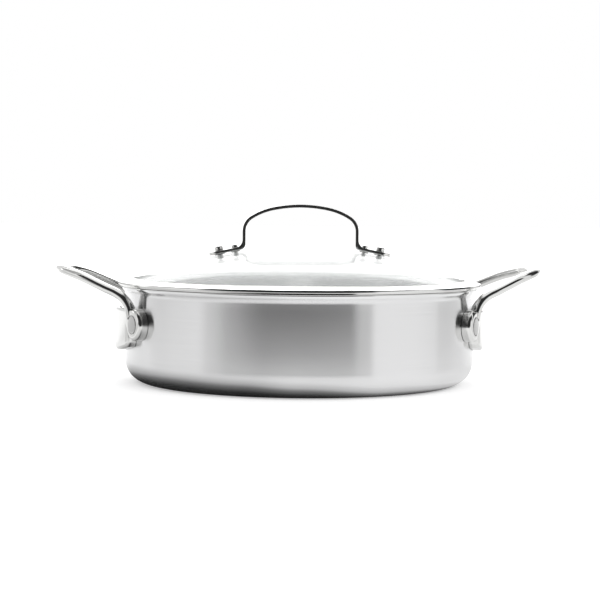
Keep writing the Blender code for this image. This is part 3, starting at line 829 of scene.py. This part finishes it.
class SAUTEPAN_OT_rivets(bpy.types.Operator):
    """Spin the four rivets and set them through the mounts"""

    bl_idname = "sautepan.rivets"
    bl_label = "Rivets"

    def profile(self, scene):
        shape = scene.handle_shape
        seat = face_radius(scene) - shape.counterbore_depth + SMALL_GAP
        top = seat + shape.rivet_head_height
        head, crown = shape.rivet_head, shape.rivet_crown
        inner = scene.pan_shape.wall_radius - scene.pan_shape.wall
        tail = math.sqrt(inner**2 - shape.rivet_tail**2) - 2 * SMALL_GAP
        points = [(0.0, top)]
        points += [(head * t, top - crown * t * t) for t in (0.2, 0.4, 0.6, 0.8, 0.95)]
        points += arc((head - crown, top - crown * 2), crown, 70, 0, 4)
        points += [(head, seat), (shape.rivet_shank, seat)]
        points += [(shape.rivet_shank, tail), (shape.rivet_tail, tail)]
        return points + domed(shape.rivet_tail, tail, shape.rivet_tail_height, 12)

    def execute(self, context):
        scene = context.scene
        tilt = scene.handle_shape.rivet_angle
        for name, turn in (
            ("right_back", tilt),
            ("right_front", -tilt),
            ("left_back", math.pi - tilt),
            ("left_front", math.pi + tilt),
        ):
            mesh = turned(self.profile(scene), 64, rivet_frame(scene, turn))
            dressed(f"rivet_{name}_turned", mesh, "pan", "rivet_steel", [f"rivet_{name}"])
        return {"FINISHED"}


class SAUTEPAN_OT_glass(bpy.types.Operator):
    """Spin the domed glass with its ground edge and its four holes"""

    bl_idname = "sautepan.glass"
    bl_label = "Lid Glass"

    rings = 36
    ground = 0.0008
    hole_depth = 0.012

    def execute(self, context):
        scene = context.scene
        ground = self.ground
        flat = glass_edge_radius(scene) - ground
        places = [flat * i / self.rings for i in range(self.rings + 1)]
        top = [(r, glass_height(scene, r)) for r in places]
        thickness = scene.lid_shape.thickness
        under = [(r, glass_height(scene, r, thickness)) for r in reversed(places)]
        edge = arc((flat, top[-1][1] - ground), ground, 80, 0, 4)
        edge += arc((flat, under[0][1] + ground), ground, 0, -80, 4)
        base = helper(spun(top + edge + under, PAN_STEPS), "glass")
        holes = [
            rod(fastener.screw + GLASS_HOLE_GAP, -self.hole_depth, 0.0, 32, fastener.spot)
            for fastener in fasteners(scene)
        ]
        mesh = combine(base, [], holes)
        dressed("lid_dome", mesh, "lid", "clear_glass", ["lid_glass"])
        return {"FINISHED"}


class SAUTEPAN_OT_band(bpy.types.Operator):
    """Spin the rolled band that grips the glass and rests on the lip"""

    bl_idname = "sautepan.band"
    bl_label = "Lid Band"

    slope = 30
    # From the glass's edge, in widths of the flange: the crown inside it, crest and valley outside
    crown_in, crest_out, valley_out = 0.3, 0.75, 1.5
    crest_rise, valley_rise = 0.0011, 0.0007

    def profile(self, scene):
        lid = scene.lid_shape
        pan = scene.pan_shape
        seat = pan.height + SEAT_GAP
        edge = glass_edge_radius(scene)
        inner = edge - lid.flange
        inside = pan.wall_radius - pan.wall
        skirt = inside - lid.skirt_clearance
        seat_edge = pan.wall_radius + lid.seat_width
        crown = edge - lid.flange * self.crown_in
        curl = (BAND_BOX[1].x - lid.curl, seat + lid.recess + lid.curl)

        # Over the glass
        points = [(inner, glass_height(scene, inner) + SMALL_GAP)]
        lip = (inner + lid.sheet / 2, glass_height(scene, inner) + SMALL_GAP + lid.sheet / 2)
        points += arc(lip, lid.sheet / 2, 180, 95, 4)
        for radius in (inner + (crown - inner) * 0.5, crown):
            points.append((radius, glass_height(scene, radius) + SMALL_GAP + lid.sheet))
        crest = curl[1] + lid.curl + self.crest_rise
        valley = curl[1] + lid.curl + self.valley_rise
        points.append((edge + lid.flange * self.crest_out, crest))
        points.append((edge + lid.flange * self.valley_out, valley))

        # Round the rolled edge
        outer = curl[0] + lid.curl
        lower = (outer - lid.curl_round, curl[1] - lid.curl + lid.curl_round)
        face = arc((outer - lid.curl_face, lower[1]), lid.curl_face, self.slope, 3, 8)
        slope = math.radians(self.slope)
        shoulder = lid.curl_shoulder
        turn = (face[0][0] - shoulder * math.cos(slope), face[0][1] - shoulder * math.sin(slope))
        points += arc(turn, shoulder, 85, 36, 6) + face
        points += arc(lower, lid.curl_round, 0, -90, 8)

        # The seat, the skirt and the groove that holds the glass
        points += [(seat_edge, seat + lid.recess), (seat_edge, seat)]
        points += [(inside, seat), (skirt, seat - lid.sheet)]
        points += [(skirt, seat - lid.skirt_drop), (skirt - lid.skirt, seat - lid.skirt_drop)]
        fold = glass_height(scene, skirt - lid.skirt, lid.thickness) - SMALL_GAP - lid.sheet
        points.append((skirt - lid.skirt, fold))
        floor_in = glass_height(scene, inner, lid.thickness) - SMALL_GAP
        floor_out = glass_height(scene, edge, lid.thickness) - SMALL_GAP
        points += [(inner, floor_in - lid.sheet), (inner, floor_in)]
        groove = edge + SEAT_GAP
        points += [(groove, floor_out), (groove, glass_height(scene, edge) + SMALL_GAP)]
        return points

    def execute(self, context):
        mesh = mesh_from(spun(self.profile(context.scene), PAN_STEPS, closed=True))
        dressed("lid_band", mesh, "lid", "polished_steel", ["lid_rim_band"])
        return {"FINISHED"}


class SAUTEPAN_OT_strap(bpy.types.Operator):
    """Draw the strap's side outline, widen it and round its feet and edges"""

    bl_idname = "sautepan.strap"
    bl_label = "Lid Handle"

    edge_round = 0.0002
    # Heights over the foot's underside: the ends of the holes, and of the nuts' seats
    hole_low, hole_high, seat_high = -0.002, 0.004, 0.006

    def contour(self, scene, side):
        """One face of the strap, from tip to tip: the outer face at 1, the inner at -1."""
        lid = scene.lid_shape
        off = side * lid.strap / 2
        crown = STRAP_BOX[1].z - lid.strap / 2
        arch_centre = Vector((0.0, crown - lid.arch))
        toward = Vector((math.sin(lid.arch_spread), math.cos(lid.arch_spread)))
        flank_centre = arch_centre + toward * (lid.arch - lid.flank)
        shoulder_x = lid.strap_span - lid.shoulder
        tilt = math.asin((shoulder_x - flank_centre.x) / (lid.flank - lid.shoulder))
        drop = (lid.flank - lid.shoulder) * math.cos(tilt)
        shoulder_centre = Vector((shoulder_x, flank_centre.y + drop))
        first, second = 90 - math.degrees(lid.arch_spread), 90 - math.degrees(tilt)
        points = arc(arch_centre, lid.arch + off, 90, first, 12)
        points += arc(flank_centre, lid.flank + off, first, second, 12)[1:]
        points += arc(shoulder_centre, lid.shoulder + off, second, 0, 20)[1:]
        slope = lid.foot_slope
        bend = lid.bend_inside if side > 0 else lid.bend_outside
        up = off / math.cos(slope)
        centre_x = lid.strap_span + off + bend
        centre_z = foot_line(scene, centre_x) + up + bend / math.cos(slope)
        points += arc((centre_x, centre_z), bend, 180, 270 - math.degrees(slope), 16)
        points.append((lid.foot_tip, foot_line(scene, lid.foot_tip) + up))
        return [(-x, z) for x, z in reversed(points[1:])] + points

    def execute(self, context):
        scene = context.scene
        lid = scene.lid_shape
        width = STRAP_BOX[1].y - STRAP_BOX[0].y
        outline = self.contour(scene, 1) + self.contour(scene, -1)[::-1]
        bm = extruded(outline, -width / 2, width)
        tips = []
        for edge in bm.edges:
            first, last = (vert.co for vert in edge.verts)
            at_tip = min(abs(first.x), abs(last.x)) > lid.foot_tip - lid.strap
            if at_tip and abs(first.y - last.y) < 1e-6:
                tips.append(edge)
        rounded(bm, tips, lid.tip_round, 12)
        base = helper(bm, "strap")
        rounding = base.modifiers.new("Rounding", "BEVEL")
        rounding.width = self.edge_round
        rounding.segments = 3
        rounding.limit_method = "ANGLE"
        rounding.angle_limit = math.radians(60)
        cuts = []
        for _, spot, screw, nut, _, _ in fasteners(scene):
            cuts.append(rod(screw + BORE_GAP, self.hole_low, self.hole_high, 32, spot))
            seat = lid.strap - lid.nut_seat
            cuts.append(rod(nut + BORE_GAP, seat, self.seat_high, 48, spot))
        mesh = combine(base, [], cuts)
        dressed("lid_strap", mesh, "lid", "polished_steel", ["lid_handle"])
        return {"FINISHED"}


class SAUTEPAN_OT_fasteners(bpy.types.Operator):
    """Spin the dome nuts, washers and screws that hold the strap to the glass"""

    bl_idname = "sautepan.fasteners"
    bl_label = "Lid Fasteners"

    steps = 48
    head_extra = 0.0005
    head_height = 0.0018
    plate = 0.0008
    washer_edge = 0.00018
    # Shares of the nut's height, and of its radius at its foot
    bore_share, dome_share, side_top, side_foot = 0.62, 0.34, 0.62, 0.06
    foot_share = 0.97

    def depths(self, scene, spot, drop, reach):
        """Depths from the foot's underside to the glass at the middle and both rims of a ring."""
        lid = scene.lid_shape
        down = spot.to_3x3() @ Vector((0, 0, -1))
        across = spot.to_3x3() @ Vector((1, 0, 0))
        radius = lid.curve - drop
        centre = Vector((0, 0, glass_height(scene, 0.0) - lid.curve))
        found = []
        for side in (-1, 0, 1):
            start = spot.translation + across * reach * side - centre
            along = start.dot(down)
            found.append(-along - math.sqrt(along**2 - start.length_squared + radius**2))
        return found

    def nut(self, base, bore, radius, height):
        points = []
        for turn in (math.radians(90) * i / 10 for i in range(10)):
            fall = self.dome_share * height * (1 - math.cos(turn))
            points.append((radius * math.sin(turn), base + height - fall))
        points += [(radius, base + height * part) for part in (self.side_top, self.side_foot)]
        points += [(radius * self.foot_share, base), (bore, base)]
        top = base + height * self.bore_share
        return points + [(bore, top), (0.0, top)]

    def ring(self, bore, radius, low, high):
        edge = min(self.washer_edge, (high - low) / 3)
        points = [(bore, high)] + arc((radius - edge, high - edge), edge, 90, 0, 4)
        return points + arc((radius - edge, low + edge), edge, 0, -90, 4) + [(bore, low)]

    def screw(self, radius, head, seat, top):
        chamfer, side = radius * 0.2, self.head_height * 0.5
        points = [(0.0, top), (radius - chamfer, top), (radius, top - chamfer)]
        points += [(radius, seat), (head, seat), (head, seat - side)]
        return points + domed(head, seat - side, self.head_height - side, 8)

    def execute(self, context):
        scene = context.scene
        lid = scene.lid_shape
        foot = lid.strap - lid.nut_seat
        for name, spot, screw, radius, height, washer in fasteners(scene):
            wide = radius + lid.washer_extra
            glass_top = -min(self.depths(scene, spot, 0.0, wide))
            lower = -max(self.depths(scene, spot, lid.thickness, wide)) - SEAT_GAP
            seat = lower - self.plate - SMALL_GAP
            bore = screw + BORE_GAP
            nut = self.nut(foot + SMALL_GAP, bore, radius, height)
            upper = self.ring(bore, wide, glass_top + SMALL_GAP, -SMALL_GAP)
            plate = self.ring(bore, wide, lower - self.plate, lower)
            top = foot + height * self.bore_share
            bolt = self.screw(screw, radius + self.head_extra, seat, top)
            for kind, profile, closed, finish in (
                ("dome_nut", nut, False, "turned_steel"),
                ("upper_washer", upper, True, washer),
                ("lower_washer", plate, True, "turned_steel"),
                ("screw", bolt, False, "turned_steel"),
            ):
                mesh = turned(profile, self.steps, spot, closed)
                dressed(f"{kind}_{name}_turned", mesh, "lid", finish, [f"{kind}_{name}"])
        return {"FINISHED"}


class SAUTEPAN_OT_stage(bpy.types.Operator):
    """Set the camera, the pale floor and the soft studio light"""

    bl_idname = "sautepan.stage"
    bl_label = "Stage"

    floor_size = 12.0
    foot_radius = 0.130
    shade_reach = 0.12
    # Metres out from the pan's foot, and how much of the table's brightness is left there
    contact = (
        (0.002, 0.00), (0.009, 0.02), (0.015, 0.14), (0.024, 0.62), (0.042, 0.93), (0.090, 1.00),
    )
    # Degrees to the right of the camera, and the shade's reach there, which is as above at 0.5
    shade = (
        (-180, 0.60), (-120, 0.70), (-90, 0.68), (-50, 0.76), (-20, 0.63), (0, 0.48),
        (30, 0.28), (90, 0.18), (125, 0.26), (180, 0.60),
    )
    # Degrees to the right of the camera, and brightness of the table there
    table = (
        (-180, 1.20), (-135, 1.18), (-118, 0.88), (-90, 0.68), (-72, 0.74), (-50, 0.86),
        (-20, 0.92), (0, 1.02), (20, 1.01), (45, 0.99), (70, 0.92), (112, 0.82),
        (128, 0.95), (142, 1.15), (180, 1.20),
    )

    def camera(self, scene):
        look = scene.stage_look
        data = bpy.data.cameras.new("camera")
        data.sensor_width = SENSOR
        data.lens = look.focal / IMAGE_SIDE * SENSOR
        data.clip_end = 20.0
        camera = linked("camera", data)
        level = math.cos(look.tilt)
        forward = Vector(
            (math.sin(look.heading) * level, math.cos(look.heading) * level, -math.sin(look.tilt))
        )
        right = Vector((math.cos(look.heading), -math.sin(look.heading), 0))
        up = right.cross(forward)
        rolled_right = right * math.cos(look.roll) + up * math.sin(look.roll)
        rolled_up = up * math.cos(look.roll) - right * math.sin(look.roll)
        axes = Matrix((rolled_right, rolled_up, -forward)).transposed().to_4x4()
        spot = Matrix.Translation((0, -look.distance, look.eye_height))
        camera.matrix_world = Matrix.Rotation(look.yaw, 4, "Z") @ spot @ axes
        scene.camera = camera

    def world(self, scene):
        """White behind the pan, and for reflections a dim end of the room between two lights."""
        look = scene.stage_look
        world = bpy.data.worlds.new("studio")
        world.use_nodes = True
        scene.world = world
        tree = world.node_tree
        coords = node(tree, "ShaderNodeTexCoord").outputs["Generated"]
        fraction, sideways, toward, height = around(tree, coords, look.yaw)
        lit, left, right, dark = look.backdrop, look.left_light, look.right_light, look.dark
        room = ramp_round(tree, fraction, (
            (-180, lit), (-168, lit), (-152, 0.35), (-146, 0.35),
            (-138, left * 0.85), (-115, left * 0.90), (-111, left * 0.70), (-107, left * 0.80),
            (-86, left * 0.95), (-70, left), (-58, left * 0.42),
            (-46, dark * 2.0), (-30, dark), (40, dark), (46, dark * 2.0),
            (50, right * 0.97), (66, right), (95, right * 0.86), (114, right * 0.68),
            (126, right * 0.80), (140, right * 0.80), (147, dark), (158, dark),
            (168, lit), (180, lit),
        ))
        overhead = between(tree, height, look.dark_height - 0.05, look.dark_height + 0.04)
        room = mix(tree, overhead, room, grey(1.0))

        # The light behind the pan, and above its bowed upper edge the ceiling
        behind = between(tree, toward, -0.3, -0.6)
        wide = both(tree, behind, between(tree, height, 0.12, 0.24))
        room = mix(tree, wide, room, grey(look.backlight))
        bowed = calc(tree, "MULTIPLY", sideways, sideways)
        edge = calc(tree, "MULTIPLY_ADD", bowed, 3.76, height)
        patch = both(tree, behind, between(tree, edge, 0.602, 0.632))
        room = mix(tree, patch, room, grey(look.ceiling))

        # Screens beside the pan: from and to which direction, from and to which height, tone
        for first, last, low, high, tone in (
            (-40, -72, 0.42, 0.94, dark),
            (-74, -130, 0.42, 0.94, look.left_screen),
            (42, 84, 0.40, 0.94, dark),
            (100, 146, 0.10, 0.80, dark),
        ):
            rise = between(tree, height, low - 0.03, low + 0.03)
            fall = between(tree, height, high + 0.03, high - 0.03)
            start = between(tree, fraction, at(first), at(first * 1.04))
            end = between(tree, fraction, at(last), at(last * 0.97))
            screen = both(tree, both(tree, rise, fall), both(tree, start, end))
            room = mix(tree, screen, room, grey(tone))

        path = node(tree, "ShaderNodeLightPath").outputs
        plain = calc(tree, "ADD", path["Is Camera Ray"], path["Is Transmission Ray"])
        plain = calc(tree, "ADD", plain, path["Is Diffuse Ray"])
        plain = calc(tree, "MINIMUM", plain, 1.0)
        seen = {"Color": mix(tree, plain, room, grey(1.0)), "Strength": 1.0}
        feed(tree, tree.nodes["Background"], seen)

    def floor(self, scene):
        """A pale table that fades to the dim room in front of the pan."""
        look = scene.stage_look
        bm = bmesh.new()
        bmesh.ops.create_grid(bm, x_segments=1, y_segments=1, size=self.floor_size)
        mesh = bpy.data.meshes.new("floor")
        bm.to_mesh(mesh)
        bm.free()
        floor = linked("floor", mesh)
        material, tree, shader = new_material("pale_floor")
        mesh.materials.append(material)
        matte = {"Base Color": grey(0.9), "Roughness": 1.0, "Specular IOR Level": 0.0}
        feed(tree, shader, matte)
        coords = node(tree, "ShaderNodeTexCoord").outputs["Object"]
        fraction, sideways, toward, _ = around(tree, coords, look.yaw)
        distance = node(tree, "ShaderNodeVectorMath", {0: coords}, operation="LENGTH")
        reach = distance.outputs["Value"]

        # What the steel mirrors: shade at the foot, the table, its near sides and its dim front
        gap = calc(tree, "SUBTRACT", reach, self.foot_radius)
        shade = ramp_round(tree, fraction, self.shade)
        shaded = calc(tree, "MULTIPLY", shade, 2.0 * self.shade_reach)
        stops = [(rise / self.shade_reach, level) for rise, level in self.contact]
        contact = ramp(tree, calc(tree, "DIVIDE", gap, shaded), stops)
        white = mix(tree, contact, grey(0.0), ramp_round(tree, fraction, self.table))
        aside = between(tree, calc(tree, "ABSOLUTE", sideways), 0.20, 0.26)
        ring = both(tree, aside, between(tree, reach, 0.45, 0.37))
        white = mix(tree, ring, white, grey(look.near_sides))
        beyond = between(tree, toward, look.table_front * 0.8, look.table_front * 1.6)
        from_left = between(tree, fraction, at(-58), at(-18))
        to_right = between(tree, fraction, at(34.7), at(31.3))
        dim = both(tree, beyond, both(tree, from_left, to_right))
        mirrored = mix(tree, dim, white, grey(look.dark))
        inputs = {"Color": mirrored, "Strength": look.table_light}
        reflected = node(tree, "ShaderNodeEmission", inputs).outputs["Emission"]

        # What the eye sees: a matte floor with a little light of its own
        glow = node(tree, "ShaderNodeEmission", {"Strength": 0.38}).outputs["Emission"]
        lit = node(tree, "ShaderNodeAddShader", {0: shader.outputs["BSDF"], 1: glow})
        glossy = node(tree, "ShaderNodeLightPath").outputs["Is Glossy Ray"]
        inputs = {0: glossy, 1: lit.outputs["Shader"], 2: reflected}
        shown = node(tree, "ShaderNodeMixShader", inputs)
        feed(tree, tree.nodes["Material Output"], {"Surface": shown.outputs["Shader"]})

    def execute(self, context):
        scene = context.scene
        scene.view_settings.view_transform = "Standard"
        self.camera(scene)
        self.world(scene)
        self.floor(scene)
        return {"FINISHED"}


STEPS = (
    SAUTEPAN_OT_body,
    SAUTEPAN_OT_side_handles,
    SAUTEPAN_OT_rivets,
    SAUTEPAN_OT_glass,
    SAUTEPAN_OT_band,
    SAUTEPAN_OT_strap,
    SAUTEPAN_OT_fasteners,
    SAUTEPAN_OT_stage,
)


class SAUTEPAN_PT_panel(bpy.types.Panel):
    """Lists the sizes and the steps in the sidebar"""

    bl_label = "Saute Pan"
    bl_idname = "SAUTEPAN_PT_panel"
    bl_space_type = "VIEW_3D"
    bl_region_type = "UI"
    bl_category = "Saute Pan"

    def draw(self, context):
        for step in STEPS:
            self.layout.operator(step.bl_idname)
        for name, group in GROUPS.items():
            box = self.layout.box()
            box.label(text=group.__doc__)
            for prop in group.__annotations__:
                box.prop(getattr(context.scene, name), prop)


CLASSES = (*GROUPS.values(), *STEPS, SAUTEPAN_PT_panel)


def register():
    for item in CLASSES:
        bpy.utils.register_class(item)
    for name, group in GROUPS.items():
        setattr(bpy.types.Scene, name, bpy.props.PointerProperty(type=group))


def unregister():
    for name in GROUPS:
        delattr(bpy.types.Scene, name)
    for item in reversed(CLASSES):
        bpy.utils.unregister_class(item)


def main():
    register()
    for step in STEPS:
        space, name = step.bl_idname.split(".")
        getattr(getattr(bpy.ops, space), name)()


if __name__ == "__main__":
    main()
